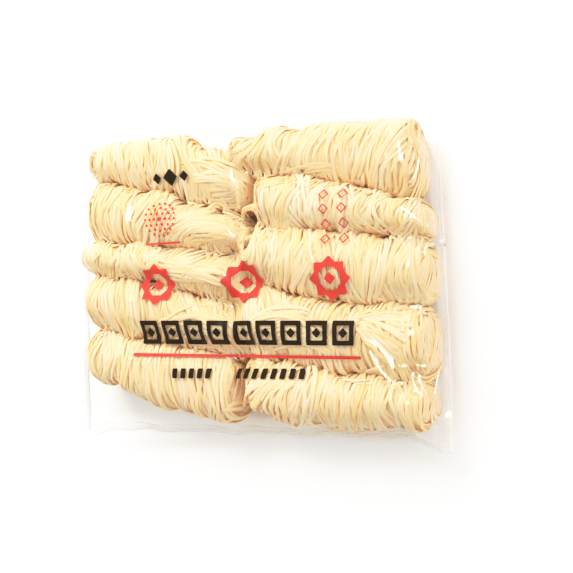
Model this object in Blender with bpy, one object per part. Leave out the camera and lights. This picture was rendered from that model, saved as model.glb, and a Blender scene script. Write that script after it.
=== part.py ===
"""A clear pillow bag of ten dried noodle skeins, lying on its back, as one closed solid.

Units are metres, +Z is up and the bag rests on z = 0. +X runs along the skeins, towards the
right of the printed side, +Y towards its top edge, and the origin is under the bag's middle.
The film hugs the skeins, so the solid shows their crests, the grooves between them and the
bands that the strands were wound in. The ends are flat seals whose corners stick out as ears,
and the long sides are folds with a narrow lip.
"""

import math
from collections import namedtuple

import bmesh
import bpy
import numpy as np

# The bag over its end seals and ears
BAG_LENGTH = 0.270
BAG_WIDTH = 0.211

# The end seals: two layers of film, pressed flat
SEAL_WIDTH = 0.008
SEAL_THICKNESS = 0.0012
SEAL_HEIGHT = 0.015  # of their root above the table
SEAL_DROOP = 0.004  # of the left one, from the root to the outer edge
SEAL_WAVE_SHIFT = 0.020  # between the wave of the seals and that of the folds
LEFT_BOW = 0.004  # what the left end's corners are drawn in by

# The right end leans, and the middle skeins push the root of its seal out, so that it hangs down
END_LEAN = 0.039  # as a slope
PUSH = 0.0064
PUSH_CENTRE = 0.005
PUSH_REACH = 0.093

# The long sides: folds of the film
FOLD_HEIGHT = 0.011
FRONT_FOLD = -0.0985
BACK_TAPER = 0.009  # what the back fold is drawn in by at the right seal
BACK_TAPER_START = -0.075
BACK_TAPER_POWER = 2.5
FRONT_LIP = 0.004
BACK_LIP = 0.0015
EAR_REACH = 0.030  # along the bag, over which a fold spreads into an ear

# The loose film along the edges waves up and down, and a little in and out, as two waves
# together: how high each is, how many times it fits the wave's length, and where it starts
EDGE_WAVE = 0.0009
EDGE_WAVE_LENGTH = 0.046
WAVE_PARTS = ((0.6, 1.0, 0.0), (0.4, 1.7, 1.0))

# How the film rounds over from the top and the bottom to its edges
LEFT_ROUND = 0.025
RIGHT_ROUND = 0.015
SIDE_ROUND = 0.022
BASE_ROUND = 0.014
ROUNDNESS = 2.3

# The skeins: each column's ends, its crests from front to back, and its row limits from front
# to back, each as its place at the column's start, middle and end
Column = namedtuple("Column", "start end crests limits")
LEFT = Column(
    start=-0.127,
    end=0.001,
    crests=[0.0410, 0.0430, 0.0440, 0.0425, 0.0405],
    limits=[
        (-0.072, -0.084, -0.093),
        (-0.026, -0.037, -0.048),
        (0.011, 0.002, -0.017),
        (0.032, 0.026, 0.017),
        (0.076, 0.064, 0.042),
        (0.099, 0.103, 0.092),
    ],
)
RIGHT = Column(
    start=0.005,
    end=0.131,
    crests=[0.0430, 0.0425, 0.0445, 0.0435, 0.0420],
    limits=[
        (-0.092, -0.094, -0.095),
        (-0.046, -0.058, -0.065),
        (0.000, -0.0155, -0.0185),
        (0.036, 0.0285, 0.0205),
        (0.071, 0.060, 0.040),
        (0.095, 0.100, 0.094),
    ],
)

# What the film sinks in by between the skeins
ROW_GROOVE = 0.0060
ROW_GROOVE_AT_ENDS = 0.0110
GROOVE_END_REACH = 0.045
COLUMN_GROOVE = 0.0030
COLUMN_GROOVE_REACH = 0.014
COLUMN_BLEND = 0.006
BASE_GROOVE = 0.0030
BASE_FLAT = 0.62  # a skein is flat underneath to where the cosine across it reaches this
GROOVE_SHARPNESS = 1.5

# The bands of strands that show as ridges across each skein
BAND_RIDGE = 0.0011
BAND_WIDTH = 0.0105
BAND_WIDTH_SPREAD = 0.0022
BAND_WIDTH_STEP = 2.4  # from row to row, and from column to column, in radians
BAND_SLANT = 0.16

# Mesh cells across the bag, in the rounded zones and between them
SEAL_CELLS = 4
LIP_CELLS = 2
ROUND_CELLS = 5
TOP_CELLS = (68, 32)
BASE_CELLS = (18, 20)

FILM_COLOUR = (0.86, 0.68, 0.38, 1.0)


def ease(low, high, value):
    """0 below low, 1 above high, and smooth between them."""
    share = np.clip((value - low) / (high - low), 0.0, 1.0)
    return share * share * (3.0 - 2.0 * share)


def rounded(share):
    """A quarter of a superellipse: 0 at an edge and 1 from a share of 1 on."""
    left = 1.0 - np.clip(share, 0.0, 1.0)
    return (1.0 - left**ROUNDNESS) ** (1.0 / ROUNDNESS)


# ---------------------------------------------------------------- outline


def right_end(y):
    """The outer edge of the right seal, which leans."""
    ear = -BAG_WIDTH / 2
    return BAG_LENGTH / 2 - END_LEAN * (y - ear)


def left_end(y):
    """The outer edge of the left seal, bowed out a little."""
    bow = LEFT_BOW * (2.0 * y / BAG_WIDTH) ** 2
    return -BAG_LENGTH / 2 + bow


def right_seal(y):
    """How far the right seal reaches out from its root, seen from above."""
    aside = np.clip((y - PUSH_CENTRE) / PUSH_REACH, -1.0, 1.0)
    return SEAL_WIDTH - PUSH * (1.0 - aside**2)


def wave(place):
    """-1 to 1 along an edge, with two wavelengths that don't fit each other."""
    turn = 2.0 * math.pi * place / EDGE_WAVE_LENGTH
    return sum(height * np.sin(times * turn + start) for height, times, start in WAVE_PARTS)


def front_edge(x):
    """The front fold, which spreads into an ear at each seal."""
    from_end = BAG_LENGTH / 2 - np.abs(x)
    ear_share = 1.0 - ease(SEAL_WIDTH / 2, EAR_REACH, from_end)
    fold = FRONT_FOLD + EDGE_WAVE * wave(x)
    return fold + (-BAG_WIDTH / 2 - fold) * ear_share


def back_edge(x):
    """The back fold, straight at the left and drawn in towards the right seal."""
    along = (x - BACK_TAPER_START) / (BAG_LENGTH / 2 - BACK_TAPER_START)
    return BAG_WIDTH / 2 - BACK_TAPER * np.clip(along, 0.0, 1.0) ** BACK_TAPER_POWER


# ---------------------------------------------------------------- skeins under the film


def row_position(column, x, y):
    """0 at the column's front limit, 1 at the first groove, and so on to 5 at its back limit."""
    stations_along = (column.start, (column.start + column.end) / 2, column.end)
    limits = [np.interp(x, stations_along, places) for places in column.limits]
    position = np.zeros(np.broadcast(x, y).shape)
    for low, high in zip(limits[:-1], limits[1:]):
        position = position + np.clip((y - low) / (high - low), 0.0, 1.0)
    return position


def column_top(column, x, y):
    """The film's height over one column: crests, grooves and the ridges of the bands."""
    position = row_position(column, x, y)
    rows = len(column.crests)
    row = np.clip(np.floor(position), 0, rows - 1).astype(int)
    across = position - row
    outside = ((row == 0) & (across < 0.5)) | ((row == rows - 1) & (across > 0.5))
    depth = np.where(outside, 0.0, np.abs(np.cos(math.pi * across)) ** (2 * GROOVE_SHARPNESS))
    crests = np.array(column.crests)
    nearest = np.clip(row + np.where(across < 0.5, -1, 1), 0, rows - 1)
    crest = crests[row] + (crests[nearest] - crests[row]) * np.abs(across - 0.5)
    from_ends = np.minimum(x - column.start, column.end - x)
    in_middle = ease(0.0, GROOVE_END_REACH, from_ends)
    groove = ROW_GROOVE_AT_ENDS + (ROW_GROOVE - ROW_GROOVE_AT_ENDS) * in_middle
    step = row + (rows if column is RIGHT else 0)
    width = BAND_WIDTH + BAND_WIDTH_SPREAD * np.sin(BAND_WIDTH_STEP * step)
    turn = (x + BAND_SLANT * (-1.0) ** row * y) / width
    ridge = np.abs(np.sin(math.pi * turn))
    return crest - groove * depth - BAND_RIDGE * (1.0 - ridge) * (1.0 - 0.5 * depth)


def film_crest(x, y):
    """The film over both columns, before it rounds down to the bag's edges."""
    gap = (LEFT.end + RIGHT.start) / 2
    left = column_top(LEFT, x, y)
    right = column_top(RIGHT, x, y)
    top = left + (right - left) * ease(gap - COLUMN_BLEND, gap + COLUMN_BLEND, x)
    dip = 1.0 - ease(0.0, COLUMN_GROOVE_REACH, np.abs(x - gap))
    return top - COLUMN_GROOVE * dip


def base_grooves(x, y):
    """How far the film under the grooves stays off the table."""
    gap = (LEFT.end + RIGHT.start) / 2
    position = np.where(x < gap, row_position(LEFT, x, y), row_position(RIGHT, x, y))
    between_rows = ease(BASE_FLAT, 1.0, np.abs(np.cos(math.pi * position)))
    between_columns = 1.0 - ease(0.0, COLUMN_GROOVE_REACH, np.abs(x - gap))
    return BASE_GROOVE * np.maximum(between_rows, between_columns)


# ---------------------------------------------------------------- film


def from_left(x, y):
    """The distance from the root of the left seal."""
    return x - left_end(y) - SEAL_WIDTH


def from_right(x, y):
    """The distance from the root of the right seal."""
    return right_end(y) - x - right_seal(y)


def from_folds(x, y):
    """The distance from the root of the nearer long side's lip."""
    return np.minimum(y - front_edge(x) - FRONT_LIP, back_edge(x) - BACK_LIP - y)


def seam_height(x, y):
    """The height of the line where the film's upper and lower halves meet."""
    left, right, reach = from_left(x, y), from_right(x, y), right_seal(y)
    left_droop = SEAL_DROOP * np.clip(-left / SEAL_WIDTH, 0.0, 1.0)
    right_droop = np.sqrt(SEAL_WIDTH**2 - reach**2) * np.clip(-right / reach, 0.0, 1.0)
    in_from_end = ease(0.0, EAR_REACH, np.minimum(left, right))
    level = SEAL_HEIGHT + (FOLD_HEIGHT - SEAL_HEIGHT) * in_from_end
    loose = EDGE_WAVE * (wave(x) + wave(y + SEAL_WAVE_SHIFT))
    return level - left_droop - right_droop + loose


def fullness(x, y, left_round, right_round, side_round):
    """0 at the seals and folds and 1 where the film has its full height."""
    ends = rounded(from_left(x, y) / left_round) * rounded(from_right(x, y) / right_round)
    return ends * rounded(from_folds(x, y) / side_round)


def top_height(x, y):
    full = fullness(x, y, LEFT_ROUND, RIGHT_ROUND, SIDE_ROUND)
    seam = seam_height(x, y) + SEAL_THICKNESS / 2
    return seam + (film_crest(x, y) - seam) * full


def base_height(x, y):
    full = fullness(x, y, BASE_ROUND, BASE_ROUND, BASE_ROUND)
    seam = seam_height(x, y) - SEAL_THICKNESS / 2
    return seam * (1.0 - full) + base_grooves(x, y) * full


# ---------------------------------------------------------------- mesh


def stations(length, seals, seal_cells, zones, middle_cells):
    """Mesh lines from 0 to 1 across a length: even on the seals and in the middle, and
    closer towards the edges in the rounded zones."""
    arc = [1.0 - math.cos(0.5 * math.pi * i / ROUND_CELLS) for i in range(ROUND_CELLS)]
    flat = np.arange(seal_cells) / seal_cells
    start = [seals[0] * f for f in flat] + [seals[0] + zones[0] * a for a in arc]
    end = [seals[1] * f for f in flat] + [seals[1] + zones[1] * a for a in arc]
    inner = np.linspace(seals[0] + zones[0], length - seals[1] - zones[1], middle_cells + 1)
    return np.array(start + list(inner) + [length - place for place in end[::-1]]) / length


def film_sheet(mesh, cells, height):
    """Adds one half of the film as a grid that follows the bag's outline. Returns its rim, as
    (place, vertex) in order, with the place running from 0 to 4 round the four sides."""
    seals, ends = (SEAL_WIDTH, SEAL_WIDTH), (LEFT_ROUND, RIGHT_ROUND)
    along = stations(BAG_LENGTH, seals, SEAL_CELLS, ends, cells[0])
    sides = (SIDE_ROUND, SIDE_ROUND)
    across = stations(BAG_WIDTH, (FRONT_LIP, BACK_LIP), LIP_CELLS, sides, cells[1])
    last_i, last_j = len(along) - 1, len(across) - 1
    u, v = np.meshgrid(along, across)
    nominal = BAG_WIDTH * (v - 0.5)
    x = left_end(nominal) * (1.0 - u) + right_end(nominal) * u
    y = front_edge(x) * (1.0 - v) + back_edge(x) * v
    z = height(x, y)
    rim = []
    grid = bmesh.ops.create_grid(mesh, x_segments=last_i, y_segments=last_j, size=1.0)
    for vert in grid["verts"]:
        i = round((vert.co.x + 1.0) / 2.0 * last_i)
        j = round((vert.co.y + 1.0) / 2.0 * last_j)
        vert.co = (x[j, i], y[j, i], z[j, i])
        if j == 0 and i < last_i:
            rim.append((along[i], vert))
        elif i == last_i and j < last_j:
            rim.append((1.0 + across[j], vert))
        elif j == last_j and i > 0:
            rim.append((3.0 - along[i], vert))
        elif i == 0:
            rim.append((4.0 - across[j], vert))
    rim.sort(key=lambda point: point[0])
    return rim + [(4.0, rim[0][1])]


def close_rims(mesh, upper, lower):
    """Joins two rims with a strip of triangles, whatever the number of points on each."""
    i = j = 0
    while i < len(upper) - 1 or j < len(lower) - 1:
        a, b = upper[i][1], lower[j][1]
        lower_done = j == len(lower) - 1
        if lower_done or (i < len(upper) - 1 and upper[i + 1][0] <= lower[j + 1][0]):
            i += 1
            mesh.faces.new((a, b, upper[i][1]))
        else:
            j += 1
            mesh.faces.new((a, b, lower[j][1]))


def film_material():
    material = bpy.data.materials.new("film_over_noodles")
    material.use_nodes = True
    shader = material.node_tree.nodes["Principled BSDF"]
    shader.inputs["Base Color"].default_value = FILM_COLOUR
    shader.inputs["Roughness"].default_value = 0.35
    shader.inputs["Metallic"].default_value = 0.0
    return material


def noodle_bag():
    mesh = bmesh.new()
    upper = film_sheet(mesh, TOP_CELLS, top_height)
    lower = film_sheet(mesh, BASE_CELLS, base_height)
    close_rims(mesh, upper, lower)
    bmesh.ops.triangulate(mesh, faces=mesh.faces)
    bmesh.ops.recalc_face_normals(mesh, faces=mesh.faces)
    data = bpy.data.meshes.new("noodle_bag")
    mesh.to_mesh(data)
    mesh.free()
    data.shade_smooth()
    bag = bpy.data.objects.new("noodle_bag", data)
    bag.data.materials.append(film_material())
    bpy.context.scene.collection.objects.link(bag)
    return bag


def main():
    for obj in list(bpy.data.objects):
        bpy.data.objects.remove(obj, do_unlink=True)
    noodle_bag()


main()
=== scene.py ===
"""A clear pillow bag of ten dried noodle skeins, lying on its back: the finish of every surface.

Units are metres, +Z is up and the bag rests on z = 0. +X runs along the skeins and +Y towards
the top edge of the printed side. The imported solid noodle_bag is replaced by the film, the ten
skeins and the print. The film repeats the solid's own formulas, and the skeins are wound
strand by strand inside it.
"""

import math
from collections import namedtuple

import bpy
import numpy as np
from mathutils import Matrix, Vector


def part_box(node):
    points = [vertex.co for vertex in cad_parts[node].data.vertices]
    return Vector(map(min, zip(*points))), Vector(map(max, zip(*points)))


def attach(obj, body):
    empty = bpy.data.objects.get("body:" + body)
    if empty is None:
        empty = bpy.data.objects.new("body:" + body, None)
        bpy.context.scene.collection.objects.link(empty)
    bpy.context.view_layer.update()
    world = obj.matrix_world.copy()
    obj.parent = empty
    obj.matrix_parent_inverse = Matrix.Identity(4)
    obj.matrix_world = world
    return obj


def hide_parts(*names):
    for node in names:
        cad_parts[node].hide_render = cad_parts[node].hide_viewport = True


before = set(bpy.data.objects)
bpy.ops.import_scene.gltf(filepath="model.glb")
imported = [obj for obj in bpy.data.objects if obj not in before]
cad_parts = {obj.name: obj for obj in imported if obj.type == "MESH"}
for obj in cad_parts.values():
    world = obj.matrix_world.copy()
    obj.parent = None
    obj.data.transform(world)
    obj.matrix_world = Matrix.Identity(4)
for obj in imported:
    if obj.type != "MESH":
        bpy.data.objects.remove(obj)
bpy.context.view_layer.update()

MM = 0.001
TURN = 2.0 * math.pi

BAG_LOW, BAG_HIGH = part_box("noodle_bag")
BAG_LENGTH = BAG_HIGH[0] - BAG_LOW[0]
BAG_WIDTH = BAG_HIGH[1] - BAG_LOW[1]

# ---- the bag's form, as in the solid

# The end seals: two layers of film, pressed flat
SEAL_WIDTH = 0.008
SEAL_THICKNESS = 0.0012
SEAL_HEIGHT = 0.015
SEAL_DROOP = 0.004  # of the left one
SEAL_WAVE_SHIFT = 0.020
LEFT_BOW = 0.004

# The right end leans, and the middle skeins push the root of its seal out, so that it hangs down
END_LEAN = 0.039
PUSH = 0.0064
PUSH_CENTRE = 0.005
PUSH_REACH = 0.093

# The long sides: folds of the film
FOLD_HEIGHT = 0.011
FRONT_FOLD = -0.0985
BACK_TAPER = 0.009
BACK_TAPER_START = -0.075
BACK_TAPER_POWER = 2.5
FRONT_LIP = 0.004
BACK_LIP = 0.0015
EAR_REACH = 0.030

# The loose film along the edges waves
EDGE_WAVE = 0.0009
EDGE_WAVE_LENGTH = 0.046
WAVE_PARTS = ((0.6, 1.0, 0.0), (0.4, 1.7, 1.0))

# How the film rounds over from the top and the bottom to its edges
LEFT_ROUND = 0.025
RIGHT_ROUND = 0.015
SIDE_ROUND = 0.022
BASE_ROUND = 0.014
ROUNDNESS = 2.3

# The skeins: each column's ends, its crests from front to back, and its row limits from front
# to back, each as its place at the column's start, middle and end
Column = namedtuple("Column", "start end crests limits")
LEFT = Column(
    start=-0.127,
    end=0.001,
    crests=[0.0410, 0.0430, 0.0440, 0.0425, 0.0405],
    limits=[
        (-0.072, -0.084, -0.093), (-0.026, -0.037, -0.048), (0.011, 0.002, -0.017),
        (0.032, 0.026, 0.017), (0.076, 0.064, 0.042), (0.099, 0.103, 0.092),
    ],
)
RIGHT = Column(
    start=0.005,
    end=0.131,
    crests=[0.0430, 0.0425, 0.0445, 0.0435, 0.0420],
    limits=[
        (-0.092, -0.094, -0.095), (-0.046, -0.058, -0.065), (0.000, -0.0155, -0.0185),
        (0.036, 0.0285, 0.0205), (0.071, 0.060, 0.040), (0.095, 0.100, 0.094),
    ],
)
COLUMN_GAP = (LEFT.end + RIGHT.start) / 2
ROWS = len(LEFT.crests)

# What the film sinks in by between the skeins
ROW_GROOVE = 0.0060
ROW_GROOVE_AT_ENDS = 0.0110
GROOVE_END_REACH = 0.045
COLUMN_GROOVE = 0.0030
COLUMN_GROOVE_REACH = 0.014
COLUMN_BLEND = 0.006
BASE_GROOVE = 0.0030
BASE_FLAT = 0.62
GROOVE_SHARPNESS = 1.5


def ease(low, high, value):
    """0 below low, 1 above high, and smooth between them."""
    share = np.clip((value - low) / (high - low), 0.0, 1.0)
    return share * share * (3.0 - 2.0 * share)


def rounded(share):
    """A quarter of a superellipse: 0 at an edge and 1 from a share of 1 on."""
    left = 1.0 - np.clip(share, 0.0, 1.0)
    return (1.0 - left**ROUNDNESS) ** (1.0 / ROUNDNESS)


def right_end(y):
    """The outer edge of the right seal."""
    ear = -BAG_WIDTH / 2
    return BAG_LENGTH / 2 - END_LEAN * (y - ear)


def left_end(y):
    """The outer edge of the left seal."""
    bow = LEFT_BOW * (2.0 * y / BAG_WIDTH) ** 2
    return -BAG_LENGTH / 2 + bow


def right_seal(y):
    """How far the right seal reaches out from its root, seen from above."""
    aside = np.clip((y - PUSH_CENTRE) / PUSH_REACH, -1.0, 1.0)
    return SEAL_WIDTH - PUSH * (1.0 - aside**2)


def wave(place):
    """The wave of the film's loose edges."""
    turn = TURN * place / EDGE_WAVE_LENGTH
    return sum(height * np.sin(times * turn + start) for height, times, start in WAVE_PARTS)


def front_edge(x):
    """The front fold, which spreads into an ear at each seal."""
    from_end = BAG_LENGTH / 2 - np.abs(x)
    ear_share = 1.0 - ease(SEAL_WIDTH / 2, EAR_REACH, from_end)
    fold = FRONT_FOLD + EDGE_WAVE * wave(x)
    return fold + (-BAG_WIDTH / 2 - fold) * ear_share


def back_edge(x):
    """The back fold, drawn in towards the right seal."""
    along = (x - BACK_TAPER_START) / (BAG_LENGTH / 2 - BACK_TAPER_START)
    return BAG_WIDTH / 2 - BACK_TAPER * np.clip(along, 0.0, 1.0) ** BACK_TAPER_POWER


def limit_at(column, index, x):
    """How far back a row limit lies at x."""
    middle = (column.start + column.end) / 2
    return np.interp(x, (column.start, middle, column.end), column.limits[index])


def row_position(column, x, y):
    """0 to the number of rows from front to back, with a whole number at each row limit."""
    position = np.zeros(np.broadcast(x, y).shape)
    for index in range(ROWS):
        low, high = limit_at(column, index, x), limit_at(column, index + 1, x)
        position = position + np.clip((y - low) / (high - low), 0.0, 1.0)
    return position


def column_top(column, x, y):
    """The height of the film where it spans one column of skeins."""
    position = row_position(column, x, y)
    row = np.clip(np.floor(position), 0, ROWS - 1).astype(int)
    across = position - row
    outside = ((row == 0) & (across < 0.5)) | ((row == ROWS - 1) & (across > 0.5))
    depth = np.abs(np.cos(math.pi * across)) ** (2.0 * GROOVE_SHARPNESS)
    depth = np.where(outside, 0.0, depth)
    crests = np.array(column.crests)
    nearest = np.clip(row + np.where(across < 0.5, -1, 1), 0, ROWS - 1)
    crest = crests[row] + (crests[nearest] - crests[row]) * np.abs(across - 0.5)
    from_ends = np.minimum(x - column.start, column.end - x)
    in_middle = ease(0.0, GROOVE_END_REACH, from_ends)
    groove = ROW_GROOVE_AT_ENDS + (ROW_GROOVE - ROW_GROOVE_AT_ENDS) * in_middle
    return crest - groove * depth


def film_crest(x, y):
    """The film's height over both columns, sunk in between them."""
    left, right = column_top(LEFT, x, y), column_top(RIGHT, x, y)
    to_right = ease(COLUMN_GAP - COLUMN_BLEND, COLUMN_GAP + COLUMN_BLEND, x)
    dip = 1.0 - ease(0.0, COLUMN_GROOVE_REACH, np.abs(x - COLUMN_GAP))
    return left + (right - left) * to_right - COLUMN_GROOVE * dip


def base_grooves(x, y):
    """What the film rises by under the bag, between the skeins."""
    position = np.where(x < COLUMN_GAP, row_position(LEFT, x, y), row_position(RIGHT, x, y))
    between_rows = ease(BASE_FLAT, 1.0, np.abs(np.cos(math.pi * position)))
    between_columns = 1.0 - ease(0.0, COLUMN_GROOVE_REACH, np.abs(x - COLUMN_GAP))
    return BASE_GROOVE * np.maximum(between_rows, between_columns)


def within(x, y):
    """How far a place lies inside the left seal's root, the right seal's, and the side folds."""
    folds = np.minimum(y - front_edge(x) - FRONT_LIP, back_edge(x) - BACK_LIP - y)
    return x - left_end(y) - SEAL_WIDTH, right_end(y) - x - right_seal(y), folds


def from_seams(x, y):
    """How far a place lies inside the nearest seal or fold."""
    return np.minimum.reduce(within(x, y))


def seam_height(x, y):
    """The height of the seals and folds, which droop towards their outer edges."""
    left, right, _ = within(x, y)
    reach = right_seal(y)
    left_droop = SEAL_DROOP * np.clip(-left / SEAL_WIDTH, 0.0, 1.0)
    right_droop = np.sqrt(SEAL_WIDTH**2 - reach**2) * np.clip(-right / reach, 0.0, 1.0)
    in_from_end = ease(0.0, EAR_REACH, np.minimum(left, right))
    level = SEAL_HEIGHT + (FOLD_HEIGHT - SEAL_HEIGHT) * in_from_end
    loose = EDGE_WAVE * (wave(x) + wave(y + SEAL_WAVE_SHIFT))
    return level - left_droop - right_droop + loose


def fullness(x, y, *rounds):
    """0 at the seals and folds, 1 where the film has its full height, over three rounded rims."""
    left, right, folds = (rounded(far / rim) for far, rim in zip(within(x, y), rounds))
    return left * right * folds


def film_top(x, y):
    """The height of the film over the bag."""
    full = fullness(x, y, LEFT_ROUND, RIGHT_ROUND, SIDE_ROUND)
    seam = seam_height(x, y) + SEAL_THICKNESS / 2
    return seam + (film_crest(x, y) - seam) * full


def film_base(x, y):
    """The height of the film under the bag."""
    full = fullness(x, y, BASE_ROUND, BASE_ROUND, BASE_ROUND)
    seam = seam_height(x, y) - SEAL_THICKNESS / 2
    return seam * (1.0 - full) + base_grooves(x, y) * full


# ---- helpers


def linear(hex_colour):
    """An sRGB hex colour as linear values."""
    values = [int(hex_colour[i : i + 2], 16) / 255.0 for i in (1, 3, 5)]
    return [v / 12.92 if v <= 0.04045 else ((v + 0.055) / 1.055) ** 2.4 for v in values] + [1.0]


def add_node(material, kind, settings=None, **links):
    """A node with its settings, each input set to a value or linked to another node's output."""
    node = material.node_tree.nodes.new("ShaderNode" + kind)
    for key, value in (settings or {}).items():
        setattr(node, key, value)
    for key, value in links.items():
        name = key.replace("_", " ")
        socket = node.inputs[int(name[2:])] if name.startswith("in") else node.inputs[name]
        if isinstance(value, bpy.types.NodeSocket):
            material.node_tree.links.new(value, socket)
        else:
            socket.default_value = value
    return node


def new_material(name):
    """An empty node material, and the place on a piece that its textures hang on."""
    material = bpy.data.materials.new(name)
    material.use_nodes = True
    material.node_tree.nodes.clear()
    return material, add_node(material, "TexCoord").outputs["Object"]


def noise(material, place, size, detail):
    """Noise with blotches of about a size."""
    node = add_node(material, "TexNoise", Vector=place, Scale=1 / size, Detail=detail)
    return node.outputs["Fac"]


def attribute(material, name):
    """A value that the mesh carries at each point."""
    return add_node(material, "Attribute", {"attribute_name": name}).outputs["Fac"]


def stretched(material, value, low, high, new_low, new_high):
    """A value's range from low to high, stretched to a new one."""
    ends = {"in1": low, "in2": high, "in3": new_low, "in4": new_high}
    return add_node(material, "MapRange", in0=value, **ends).outputs["Result"]


def mixed_colour(material, share, first, second):
    """The first colour where the share is 0 and the second where it is 1."""
    rgba = {"data_type": "RGBA"}
    return add_node(material, "Mix", rgba, in0=share, in6=first, in7=second).outputs[2]


def mixed_shader(material, share, first, second):
    """The first shader where the share is 0 and the second where it is 1."""
    return add_node(material, "MixShader", in0=share, in1=first, in2=second).outputs["Shader"]


def bumpy(material, strength, depth, height):
    """Surface directions of a fine relief."""
    node = add_node(material, "Bump", Strength=strength, Distance=depth, Height=height)
    return node.outputs["Normal"]


def surface(material, kind, **links):
    """A surface shader of a kind."""
    return add_node(material, "Bsdf" + kind, **links).outputs["BSDF"]


def finished(material, shader):
    """The material with its surface shader in place."""
    add_node(material, "OutputMaterial", Surface=shader)
    return material


def mesh_piece(name, points, faces, material, slot, smooth=True, **values):
    """A piece that rides with the bag and stands for its solid, with values at its points."""
    mesh = bpy.data.meshes.new(name)
    mesh.from_pydata(points.tolist(), [], faces)
    mesh.polygons.foreach_set("use_smooth", [smooth] * len(faces))
    mesh.validate()
    mesh.materials.append(material)
    for key, value in values.items():
        layer = mesh.attributes.new(key, "FLOAT", "POINT")
        layer.data.foreach_set("value", value.astype(np.float32))
    piece = bpy.data.objects.new(name, mesh)
    bpy.context.scene.collection.objects.link(piece)
    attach(piece, "root")
    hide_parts("noodle_bag")


def unit(vectors):
    """Vectors scaled to a length of 1."""
    return vectors / np.maximum(np.linalg.norm(vectors, axis=-1, keepdims=True), 1e-12)


# ---- the skeins' form

STRAND_WIDTH = 2.5 * MM
STRAND_THICKNESS = 0.55 * MM
FILM_CLEARANCE = 1.2 * MM  # from a strand's middle to the film
SECTION_POWER = 2.7  # how square a skein is across
ROW_OVERLAP = 1.0 * MM  # by which neighbouring skeins reach into each other
EDGE_SWING = 1.32 * MM  # by which a skein's sides swing in and out along it
# The swing of the front and of the back: for each of two waves, the length of a radian and what
# the skein's phase counts in it
EDGE_WAVES = [(7.3 * MM, 1.0, 3.9 * MM, 2.3), (6.1 * MM, -1.0, 4.4 * MM, 1.7)]
CAP_REACH = 11 * MM  # the rounded end of a skein
CAP_RADIUS = 20 * MM
CAP_STEPS = 40
SEAL_GAP = 0.6 * MM  # between a skein's end and the root of the seal
END_HEIGHT = 13 * MM  # of the middle of a skein's end
PAIRING = 0.3 * MM  # strands lie in pairs, each shifted this far to the other
FACE_SIZE = 0.80  # a skein's end is a face from where it has this share of its full size

# A skein's flow is a list of (share of its length, slant, bow): how far its strands lean
# towards +X at the back, and how far they bulge towards +X on the crest
# A skein's trims are what its front and back sides are drawn in by, as (x, front, back) in mm
Skein = namedtuple("Skein", "start end flow bundles trims", defaults=[[(0, 0, 0)]])


def squared(across, up):
    """The distance from a skein's axis as its squarish section measures it."""
    total = np.abs(across) ** SECTION_POWER + np.abs(up) ** SECTION_POWER
    return total ** (1.0 / SECTION_POWER)


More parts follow.
